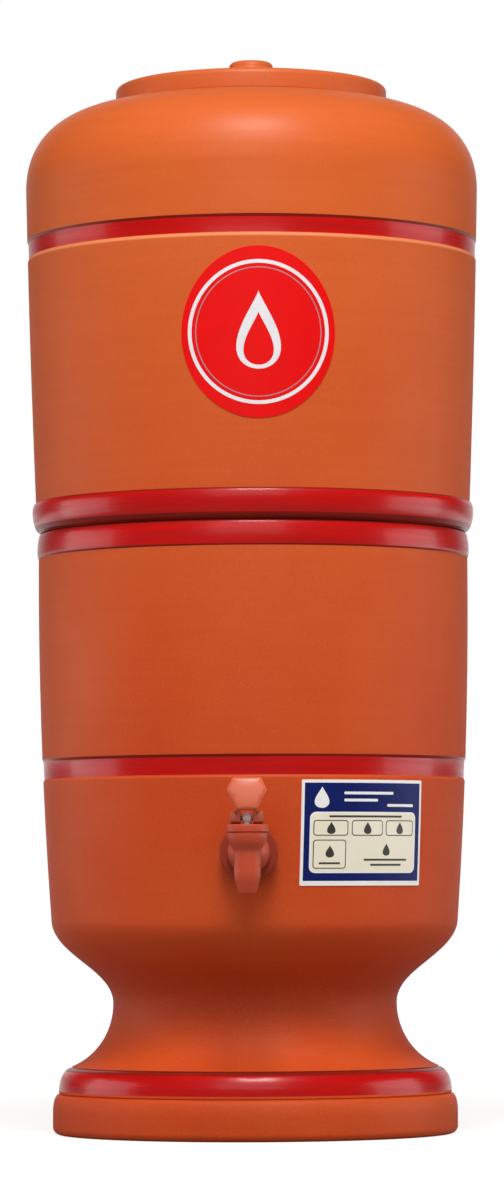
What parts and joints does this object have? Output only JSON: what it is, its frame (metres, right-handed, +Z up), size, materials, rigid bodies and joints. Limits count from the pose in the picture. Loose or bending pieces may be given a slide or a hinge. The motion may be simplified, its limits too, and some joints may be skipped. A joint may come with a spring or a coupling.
{
  "type": "clay water filter pot with tap",
  "caption": "Turned clay water filter: an upper vessel with a lid nests in a lower vessel on a pedestal foot, which a sprung lever tap empties.",
  "frame": {"origin": "on the surface that the pot stands on, under the middle of the whole outline", "axes": "+Z up; the tap faces -Y; the vessels' own axis is vertical at x = 0, y = 0.018"},
  "size_m": [0.2404, 0.2766, 0.5693],
  "materials": {
    "clay": "unglazed turned clay with glossy red painted rings",
    "front_label": "printed sticker",
    "rating_label": "printed sticker",
    "candle_ceramic": "porous matt",
    "carbon": "pressed carbon",
    "white_plastic": "moulded",
    "tap_plastic": "moulded, semi-gloss",
    "rubber": "matt",
    "silicone": "matt",
    "steel": "drawn wire"
  },
  "bodies": {
    "pot": {"lower_vessel": "clay", "rating_label": "rating_label", "tap_body": "tap_plastic", "tap_bonnet": "tap_plastic", "tap_outer_washer": "rubber", "tap_inner_washer": "rubber", "tap_nut": "white_plastic", "tap_spring": "steel"},
    "upper": {"upper_vessel": "clay", "front_label": "front_label", "candle_element": "candle_ceramic", "candle_core": "carbon", "candle_base": "white_plastic", "candle_gasket": "rubber", "candle_lower_washer": "rubber", "candle_wing_nut": "white_plastic", "float_housing": "white_plastic"},
    "lid": {"lid": "clay"},
    "float": {"float_disc": "white_plastic", "float_plug": "rubber"},
    "tap_valve": {"tap_stem": "white_plastic", "tap_seat": "silicone"},
    "tap_lever": {"tap_lever": "tap_plastic", "tap_pivot_pin": "steel"}
  },
  "joints": [
    {"name": "upper_lift", "type": "slide", "parent": "pot", "child": "upper", "axis": [0, 0, 1], "range_m": [0, 0.08]},
    {"name": "lid_lift", "type": "slide", "parent": "upper", "child": "lid", "axis": [0, 0, 1], "range_m": [0, 0.03]},
    {"name": "float_rise", "type": "slide", "parent": "upper", "child": "float", "axis": [0, 0, 1], "range_m": [0, 0.004]},
    {"name": "tap_valve_lift", "type": "slide", "parent": "pot", "child": "tap_valve", "axis": [0, 0, 1], "range_m": [0, 0.00244], "stiffness_N_per_m": 400, "springref_m": -0.003, "deforming": ["tap_spring"]},
    {"name": "tap_lever_tilt", "type": "hinge", "parent": "tap_valve", "child": "tap_lever", "pos_m": [0, -0.12765, 0.16391], "axis": [1, 0, 0], "range_deg": [0, 35]}
  ],
  "couplings": [
    {"joint": "tap_lever_tilt", "follows": "tap_valve_lift", "rad_per_m": 250}
  ]
}
